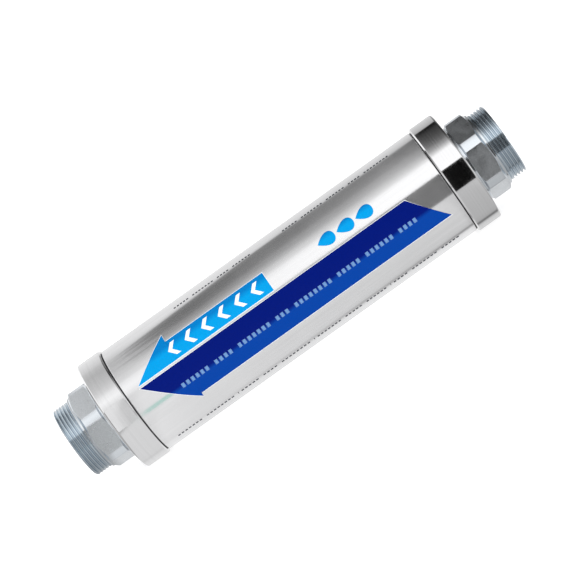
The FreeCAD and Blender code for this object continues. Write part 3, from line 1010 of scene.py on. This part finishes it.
@dataclass
class Label:
    """The print on the tube: two flow arrows, drops, chevrons and rows of plain blocks."""

    half_length: float
    radius: float
    tip_margin: float = 6.4
    head: float = 19.6
    big_tail_margin: float = 5.5
    big_slant: float = 12.7
    big_root: float = 6.3
    big_far: float = -32.1
    big_barb: float = -36.4
    small_length: float = 68.8
    small_root: float = 9.0
    small_far: float = 30.5
    small_barb: float = 39.1
    border: float = 0.22
    lift: float = 0.012
    film: float = 0.03
    chevron_start: float = -54.5
    chevron_step: float = 8.4
    drop_places: tuple[float, ...] = (25.5, 35.0, 44.5)
    drop_up: float = 19.6  # the drops' middle, in degrees up, as are the next four
    chevron_up: float = 19.9
    long_row_up: float = -14.6
    upper_row_up: float = 61.6
    lower_row_up: float = -63.6
    lower_edges: tuple[float, ...] = (-74.0, -41.5, -2.5, 36.5, 73.5)
    lower_groups: tuple[tuple[int, ...], ...] = ((7, 8), (5, 4, 8), (7, 5, 6), (4, 7, 5))
    lower_margin: float = 1.6
    divider_half: float = 0.15
    divider_low: float = -65.2
    divider_high: float = -61.6

    def degrees(self, length: float) -> float:
        """The angle in degrees that a length covers round the tube."""
        return math.degrees(length / self.radius)

    def arrow(self, tail: float, slant: float, root: float, far: float, barb: float, grow: float,
              radius: float) -> Patch:
        """A half arrow that points at the outlet.

        Its root edge is straight. Its other edge runs from the tip to the barb, steps back to the far edge,
        and ends in a slanted tail.

        Args:
            tail: where the far edge ends, in millimetres from the middle.
            slant: how much shorter the root edge is.
            root: the root edge in degrees up from the label's middle.
            far: the far edge.
            barb: the barb.
            grow: how far the outline is pushed out, in millimetres.
            radius: the film's radius.

        Returns:
            Points and quads.
        """
        side = 1.0 if far > root else -1.0
        g = self.degrees(grow) * side
        tip = -self.half_length + self.tip_margin - grow * 2.2
        head = -self.half_length + self.tip_margin + self.head + grow * 0.4
        root, far, barb = root - g, far + g, barb + g * 1.6
        x_head = np.linspace(tip, head, 30)
        edge_head = root + (barb - root) * (x_head - tip) / (head - tip)
        x_body = np.linspace(head + 0.001, tail - slant + grow, 60)
        x_tail = np.linspace(tail - slant + grow, tail + grow * 1.5, 16)[1:] if slant else np.zeros(0)
        x = np.concatenate([x_head, x_body, x_tail])
        far_edge = np.concatenate([edge_head, np.full(len(x_body), far), np.full(len(x_tail), far)])
        share = (x_tail - (tail - slant)) / slant if slant else x_tail
        near_edge = np.concatenate([np.full(len(x_head) + len(x_body), root),
                                    root + (far - root) * np.clip(share, 0, 1)])
        return band(x, near_edge, far_edge, radius, 28)

    def drop(self, x: float, up: float, length: float, height: float,
             radius: float) -> Patch:
        """One drop, lying along the tube with its point towards the outlet.

        Its half height is proportional to t sqrt(1 - t), from its point at t = 0 to its round end at t = 1.

        Args:
            x: its middle along the axis in millimetres.
            up: its middle in degrees up from the label's middle.
            length: its length.
            height: its height.
            radius: the film's radius.

        Returns:
            Points and quads.
        """
        bend = (1.0 - np.cos(np.linspace(0.0, math.pi, 25))) / 2.0
        half = bend * np.sqrt(1.0 - bend) * DROP_PEAK * height / 2
        stations = x - length / 2 + bend * length
        wide = np.degrees(half / self.radius)
        return band(stations, up - wide, up + wide, radius, 7)

    def chevron(self, x: float, up: float, length: float, height: float, stroke: float,
                radius: float) -> Patch:
        """An open arrowhead that points at the outlet.

        The point of shares u and v is at x + |u| * length + v * stroke, and u * height / 2 up.

        Args:
            x: where it points to, in millimetres from the middle.
            up: its middle in degrees up from the label's middle.
            length: from its point to its ends.
            height: from end to end.
            stroke: how wide its line is along the tube.
            radius: the film's radius.

        Returns:
            Points and quads.
        """
        u = np.linspace(-1.0, 1.0, 17)[:, None]
        v = np.linspace(0.0, 1.0, 4)[None, :]
        along = x + np.abs(u) * length + v * stroke
        around = np.broadcast_to(up + u * self.degrees(height / 2), along.shape)
        points = on_tube(along, around, radius).reshape(-1, 3)
        return points, facing_out(points, grid_faces(17, 4, closed=False))

    def blocks(self, start: float, end: float, up: float, height: float, groups: Sequence[int],
               radius: float) -> list[Patch]:
        """A row of upright blocks in groups, as a sample sheet shows where print goes.

        A block takes BLOCK_SHARE of its share of the row, and a gap between groups is one share.

        Args:
            start: where the row starts, in millimetres from the middle.
            end: where it ends.
            up: the row in degrees up from the label's middle.
            height: the blocks' height.
            groups: how many blocks each group has.
            radius: the film's radius.

        Returns:
            Points and quads of each block.
        """
        share = (end - start) / (sum(groups) + len(groups) - 1)
        half = self.degrees(height / 2)
        row, x = [], start
        for count in groups:
            for _ in range(count):
                edges = np.array([x, x + BLOCK_SHARE * share])
                row.append(band(edges, np.full(2, up - half), np.full(2, up + half), radius, 4))
                x += share
            x += share
        return row

    def build(self) -> list[Film]:
        """Makes the print's films.

        Returns:
            (film, finish, slot, nodes) of each.
        """
        base = self.radius + self.lift
        top = base + self.film
        over = top + self.film
        big = (self.half_length - self.big_tail_margin, self.big_slant, self.big_root, self.big_far,
               self.big_barb)
        small = (-self.half_length + self.tip_margin + self.small_length, 0.0, self.small_root,
                 self.small_far, self.small_barb)
        border = [self.arrow(*big, self.border, base), self.arrow(*small, self.border, base)]
        points = [self.chevron_start + k * self.chevron_step for k in range(6)]
        chevrons = [self.chevron(x, self.chevron_up, 2.6, 6.0, 2.1, over) for x in points]
        drops = [self.drop(x, self.drop_up, 8.4, 6.0, base) for x in self.drop_places]
        silver = self.blocks(-58.0, 61.5, self.long_row_up, 2.0, (6, 4, 7, 3, 8, 5, 6, 4), over)
        above = self.blocks(-43.0, -3.5, self.upper_row_up, 0.85, (5, 7, 4, 6), base)
        above += self.blocks(12.5, 67.0, self.upper_row_up, 0.85, (5, 7, 6, 4, 8), base)
        below = self.lower_row(base)
        blue, pale = "dark_blue_print", "light_blue_print"
        films = (
            ("arrow_borders", border, WHITE_INK, pale, ()),
            ("long_arrow", [self.arrow(*big, 0.0, top)], DARK_INK, blue, ("big_arrow_film",)),
            ("short_arrow", [self.arrow(*small, 0.0, top)], LIGHT_INK, pale, ("small_arrow_film",)),
            ("short_arrow_chevrons", chevrons, WHITE_INK, pale, ()),
            ("long_arrow_bars", silver, SILVER_INK, pale, ()),
            ("water_drops", drops, LIGHT_INK, pale, ()),
            ("upper_bars", above, BLACK_INK, blue, ()),
            ("lower_bars", below, BLACK_INK, blue, ()),
        )
        return [(film_piece(name, patches, self.film), *rest) for name, patches, *rest in films]

    def lower_row(self, radius: float) -> list[Patch]:
        """The row under the long arrow: four stretches of blocks with upright dividers between them."""
        row = []
        for k, groups in enumerate(self.lower_groups):
            start, end = self.lower_edges[k], self.lower_edges[k + 1]
            inner = (start + self.lower_margin, end - self.lower_margin)
            row += self.blocks(*inner, self.lower_row_up, 0.9, groups, radius)
            if k:
                edges = np.array([start - self.divider_half, start + self.divider_half])
                low, high = np.full(2, self.divider_low), np.full(2, self.divider_high)
                row.append(band(edges, low, high, radius, 4))
        return row

    def dress(self, films: list[Film]) -> None:
        """Gives the films their inks and their body."""
        for piece, finish, slot, nodes in films:
            settle(piece, finish, "housing", slot, *nodes)


@dataclass
class Cartridge:
    """The magnet cartridge and the other inner pieces, which keep their CAD shapes."""

    finishes: dict[str, object] = field(default_factory=lambda: {
        "black_rubber": RUBBER,
        "white_acetal": ACETAL,
        "zinc": MachinedMetal("cast_zinc", (0.5, 0.53, 0.57), 0.35, (0.35, 0.37, 0.4)),
        "copper": MachinedMetal("turned_copper", (0.8, 0.36, 0.2), 0.22, (0.45, 0.18, 0.1)),
        "magnet": MachinedMetal("plated_magnet", (0.66, 0.65, 0.62), 0.2, (0.5, 0.49, 0.46)),
        "soft_iron": MachinedMetal("soft_iron", (0.36, 0.36, 0.38), 0.34, (0.25, 0.2, 0.17)),
        "stainless": MachinedMetal("turned_stainless", (0.6, 0.61, 0.63), 0.2, (0.45, 0.46, 0.48)),
    })

    def dress(self) -> None:
        """Gives every node that still shows the finish of its material slot."""
        slots = {part["node"]: part["material_slot"] for part in frame["record"]["subparts"]}
        made = {slot: finish.material() for slot, finish in self.finishes.items()}
        for name, node in frame["nodes"].items():
            if slots[name] not in made:
                continue
            for place in node.material_slots:
                place.material = made[slots[name]]
            log.info("%s has the finish %s", name, slots[name])


# ---------------------------------------------------------------- the studio


@dataclass(frozen=True)
class Zone:
    """A stretch of the light tent: where it starts along X, how soft its start is, and its arc's brightness.

    The start and the softness are in metres. The arc's stops are (degrees up from the front and over,
    brightness).
    """

    start: float
    soft: float
    arc: tuple[tuple[float, float], ...]


@dataclass
class Studio:
    """Floor, light tent, reflection cards, light and camera.

    The tent and the cards are seen only in reflections. Stops along X are (millimetres, brightness), and
    other stops are (share of the way, brightness).
    """

    tent_radius: float = 0.6
    tent_half: float = 0.75
    front_card_y: float = -0.185
    front_card_top: float = 0.132
    camera_distance: float = 1.137
    lens: float = 168.7
    roll: float = 35.5
    swing: float = 1.85
    aim_right: float = 0.42
    aim_down: float = 1.26
    narrow_from: float = 80.0  # degrees over, where the dark part starts to get narrower
    ragged_edge: float = 0.018  # metres that the streaks reach to each side
    ragged_zone: float = 0.01  # a zone with a softer start than this is a ragged one
    green_left: float = -0.0885
    green_right: float = -0.07
    green_y: float = -0.137
    green_top: float = -0.009
    side_half: float = 0.8
    side_top: float = 0.7
    floor_half: float = 6.0
    floor_glow: float = 0.5
    world_glow: float = 0.95
    lamp_side: float = 1.2
    lamp_energy: float = 9.0
    lamp_place: tuple[float, float, float] = (0.2, -0.7, 1.3)
    front_stops: Stops = (
        (-300, 0.4), (-160, 0.4), (-150, 0.02), (-123, 0.02), (-121.5, 0.98), (-104, 0.98), (-103, 0.6),
        (-97, 0.6), (-95.5, 0.92), (-60, 0.8), (30, 0.3), (60, 0.12), (84, 0.11), (85.2, 0.001),
        (101.6, 0.001), (102.6, 0.03), (112, 0.03), (113, 0.06), (300, 0.3),
    )
    low_stops: Stops = (
        (-300, 0.8), (-103.5, 0.42), (-102.5, 0.8), (-80, 0.8), (-79, 0.88), (-60, 0.8), (0, 0.74),
        (79, 0.69), (79.8, 0.56), (92, 0.55), (93, 0.6), (102.5, 0.6), (103.5, 0.48), (300, 0.8),
    )
    depth_stops: Stops = (
        (0.0, 0.54), (0.5, 0.51), (0.76, 0.48), (0.81, 0.43), (0.825, 0.2), (0.835, 0.2), (0.845, 0.5),
        (0.86, 0.66), (1.0, 0.72),
    )
    side_stops: Stops = (
        (0.0, 0.06), (0.177, 0.06), (0.215, 0.95), (0.323, 0.95), (0.46, 0.5), (0.577, 0.25), (0.77, 0.05),
        (1.0, 0.25),
    )
    zones: tuple[Zone, ...] = (
        Zone(-0.75, 0.0, ((36, 1.2), (60, 1.2), (90, 1.25), (150, 1.25), (178, 1.1))),
        Zone(-0.192, 0.004, (
            (36, 0.9), (50, 1.15), (59, 0.7), (79, 0.3), (88, 0.16), (108, 0.08), (122, 0.06), (133, 0.1),
            (148, 0.3), (168, 0.5),
        )),
        Zone(-0.1725, 0.003, (
            (36, 0.95), (49, 1.12), (59, 0.95), (74, 0.8), (90, 0.76), (122, 0.78), (150, 0.84),
            (178, 0.95),
        )),
        Zone(-0.161, 0.003, (
            (36, 0.82), (40, 0.95), (49, 1.12), (59, 1.02), (67, 0.8), (79, 0.67), (98, 0.58), (108, 0.54),
            (122, 0.62), (132, 0.75), (150, 0.86), (178, 0.95),
        )),
        Zone(-0.119, 0.02, (
            (36, 1.12), (59, 1.08), (67, 0.92), (79, 0.58), (89, 0.33), (98, 0.2), (108, 0.12), (122, 0.11),
            (132, 0.14), (137, 0.2), (141, 0.75), (150, 0.86), (178, 0.9),
        )),
        Zone(0.015, 0.16, (
            (36, 1.25), (66, 1.23), (69, 1.05), (79, 0.72), (89, 0.52), (108, 0.28), (122, 0.2),
            (134, 0.17), (138, 0.3), (143, 0.62), (150, 0.7), (162, 0.78), (178, 0.86),
        )),
        Zone(0.1005, 0.002, (
            (36, 1.25), (66, 1.23), (73, 0.7), (79, 0.4), (89, 0.173), (98, 0.106), (108, 0.072),
            (122, 0.045), (131, 0.012), (137, 0.012), (139, 0.5), (150, 0.62), (162, 0.7), (178, 0.78),
        )),
        Zone(0.1365, 0.003, (
            (36, 1.3), (59, 1.2), (67, 0.7), (79, 0.36), (88, 0.14), (98, 0.06), (108, 0.03), (122, 0.02),
            (132, 0.03), (140, 0.1), (148, 0.22), (168, 0.36),
        )),
    )

    def glow(self, card: Piece, nodes: Nodes, colour: Socket) -> None:
        """Makes a card give light of its own colour, seen only in reflections.

        Args:
            card: the card.
            nodes: the card's material.
            colour: the light's colour.
        """
        nodes.set(Base_Color=(0.0, 0.0, 0.0, 1.0), Roughness=1.0, Specular_IOR_Level=0.0,
                  Emission_Color=colour, Emission_Strength=1.0)
        card.data.materials.append(nodes.material)
        card.visible_camera = False
        card.visible_diffuse = False
        card.visible_shadow = False
        card.visible_transmission = False
        card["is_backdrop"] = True

    def card(self, name: str, corners: Sequence[Sequence[float]]) -> Piece:
        """A flat four-cornered card.

        Args:
            name: the card's name.
            corners: its corners in metres, in order round it.

        Returns:
            The card.
        """
        return make_object(name, np.array(corners, dtype=float), np.array([[0, 1, 2, 3]]))

    def tent(self) -> None:
        """A half cylinder of light over the filter, bright in front, darker above and mostly lighter behind.

        A point is at x along the filter, and at the angle v from the front floor over to the back. The dark
        part of the ragged zones gets narrower towards the outlet, and those zones start in streaks.
        """
        x = np.linspace(-self.tent_half, self.tent_half, 9)
        v = np.radians(np.linspace(0.0, 180.0, 91))
        grid = np.stack(np.meshgrid(x, v, indexing="ij"), -1)
        across, up = -self.tent_radius * np.cos(grid[..., 1]), self.tent_radius * np.sin(grid[..., 1])
        points = np.stack([grid[..., 0], across, up], -1)
        tent = make_object("light_tent", points.reshape(-1, 3), grid_faces(9, 91, closed=False))
        n = Nodes("tent_light")
        tx, ty, tz = n.split()
        over = n.math("DEGREES", n.math("ARCTAN2", tz, n.math("MULTIPLY", ty, -1.0)))
        narrow = n.range(tx, -0.03, -0.13, 1.0, 1.35)
        above = n.math("MAXIMUM", n.math("SUBTRACT", over, self.narrow_from), 0.0)
        below = n.math("MINIMUM", over, self.narrow_from)
        shifted = n.math("ADD", below, n.math("MULTIPLY", above, narrow))
        streaks = n.join(n.math("MULTIPLY", tx, 14.0), n.math("MULTIPLY", over, 0.35), 0.0)
        ragged = n.noise(streaks, 1.0, 4.0, 0.6)
        wobble = n.spread(ragged, -self.ragged_edge, self.ragged_edge)
        colour = None
        for zone in self.zones:
            middle = zone.soft >= self.ragged_zone
            place = n.math("DIVIDE", shifted if middle else over, 180.0)
            here = n.ramp(place, greys((degrees / 180.0, level) for degrees, level in zone.arc))
            if colour is None:
                colour = here
                continue
            along = n.math("ADD", tx, wobble) if middle else tx
            share = n.range(along, zone.start - zone.soft / 2, zone.start + zone.soft / 2, 0.0, 1.0)
            colour = n.mix(share, colour, here)
        self.glow(tent, n, colour)

    def along(self, nodes: Nodes, stops: Stops) -> Socket:
        """Brightness along X.

        Args:
            nodes: the material.
            stops: (millimetres, brightness).

        Returns:
            The colour socket.
        """
        low, high = stops[0][0], stops[-1][0]
        place = nodes.range(nodes.split()[0], low * MM, high * MM, 0.0, 1.0)
        return nodes.ramp(place, greys(((x - low) / (high - low), level) for x, level in stops))

    def cards(self) -> None:
        """A card standing in front, a card lying on the floor, a thin green card and one past each end."""
        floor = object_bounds()[0].z
        y, top, reach = self.front_card_y, self.front_card_top, self.tent_half
        front = self.card("front_card",
                          [(-reach, y, floor), (reach, y, floor), (reach, y, top), (-reach, y, top)])
        n = Nodes("front_card_light")
        self.glow(front, n, self.along(n, self.front_stops))

        z = floor + 0.2 * MM
        low = self.card("floor_card",
                        [(-reach, -reach, z), (reach, -reach, z), (reach, reach, z), (-reach, reach, z)])
        n = Nodes("floor_card_light")
        base = self.along(n, self.low_stops)
        depth = n.range(n.split()[1], -0.1, 0.0, 0.0, 1.0)
        shape = n.ramp(depth, greys(self.depth_stops))
        plain = n.mix(n.range(n.split()[0], -0.06, 0.08, 0.15, 1.0), (0.5, 0.5, 0.5, 1.0), shape)
        self.glow(low, n, n.multiply(base, n.multiply(plain, (2.0, 2.0, 2.0, 1.0))))

        left, right, y, top = self.green_left, self.green_right, self.green_y, self.green_top
        strip = self.card("green_card",
                          [(left, y, floor), (right, y, floor), (right, y, top), (left, y, top)])
        n = Nodes("green_card_light")
        self.glow(strip, n, n.mix(n.noise(n.place, 90.0), (0.36, 0.66, 0.58, 1.0), (0.5, 0.74, 0.68, 1.0)))

        for side, name in ((-1, "outlet_side_card"), (1, "inlet_side_card")):
            x = side * self.tent_half
            y, top = self.side_half, self.side_top
            end = self.card(name, [(x, -y, floor), (x, y, floor), (x, y, top), (x, -y, top)])
            n = Nodes(f"{name}_light")
            place = n.range(n.split()[1], -0.5, y, 0.0, 1.0)
            self.glow(end, n, n.ramp(place, greys(self.side_stops)))

    def floor(self) -> None:
        """A wide pale floor that the caps rest on."""
        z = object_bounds()[0].z
        size = self.floor_half
        piece = self.card("floor", [(-size, -size, z), (size, -size, z), (size, size, z), (-size, size, z)])
        n = Nodes("pale_floor")
        clouds = n.spread(n.noise(n.place, 6.0, 3.0, 0.5), 0.0, 1.0)
        tone = n.mix(clouds, (0.93, 0.93, 0.93, 1.0), (0.95, 0.95, 0.95, 1.0))
        n.set(Base_Color=tone, Roughness=0.9, Emission_Color=(1.0, 1.0, 1.0, 1.0),
              Emission_Strength=self.floor_glow)
        piece.data.materials.append(n.material)
        piece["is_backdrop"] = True

    def lights(self) -> None:
        """Even white surroundings and one large soft light from above the front."""
        world = bpy.data.worlds.new("studio")
        world.use_nodes = True
        world.node_tree.nodes["Background"].inputs[0].default_value = (1.0, 1.0, 1.0, 1.0)
        world.node_tree.nodes["Background"].inputs[1].default_value = self.world_glow
        bpy.context.scene.world = world
        lamp = bpy.data.lights.new("soft_key", "AREA")
        lamp.shape = "RECTANGLE"
        lamp.size = lamp.size_y = self.lamp_side
        lamp.energy = self.lamp_energy
        key = bpy.data.objects.new("soft_key", lamp)
        key.location = self.lamp_place
        key.rotation_mode = "QUATERNION"
        key.rotation_quaternion = key.location.to_track_quat("Z", "Y")
        key.visible_glossy = False
        bpy.context.scene.collection.objects.link(key)

    def camera(self) -> None:
        """A long lens a little above the front, rolled so that the filter lies on a slant."""
        up_angle, swing, roll = (math.radians(a) for a in (LABEL_TILT, self.swing, self.roll))
        back = Vector((math.sin(swing), -math.cos(swing) * math.cos(up_angle),
                       math.cos(swing) * math.sin(up_angle)))
        level = (Vector((1, 0, 0)) - back * back.x).normalized()
        upright = back.cross(level)
        right = level * math.cos(roll) - upright * math.sin(roll)
        up = level * math.sin(roll) + upright * math.cos(roll)
        lens = bpy.data.cameras.new("camera")
        lens.lens, lens.sensor_width = self.lens, 36.0
        lens.clip_start, lens.clip_end = 0.01, 50.0
        camera = bpy.data.objects.new("camera", lens)
        target = up * self.aim_down * MM - right * self.aim_right * MM
        place = Matrix((right, up, back)).transposed().to_4x4()
        place.translation = target + back * self.camera_distance
        camera.matrix_world = place
        bpy.context.scene.collection.objects.link(camera)
        bpy.context.scene.camera = camera

    def build(self) -> None:
        """Sets up the whole studio."""
        self.floor()
        self.tent()
        self.cards()
        self.lights()
        self.camera()
        bpy.context.scene.view_settings.view_transform = "Standard"


# ---------------------------------------------------------------- all of it


def main() -> None:
    """Builds the filter and its studio."""
    logging.basicConfig(level=logging.INFO, format="%(message)s")
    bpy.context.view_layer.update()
    Studio().build()
    housing = Housing()
    housing.dress(housing.build())
    label = Label(housing.half_length, housing.radius)
    label.dress(label.build())
    for end in End:
        cap = EndCap(end)
        cap.dress(cap.build())
        nipple = HexNipple(end)
        nipple.dress(nipple.build())
        seals = EndSeals(end)
        seals.dress(seals.build())
    Cartridge().dress()


if __name__ == "__main__":
    main()
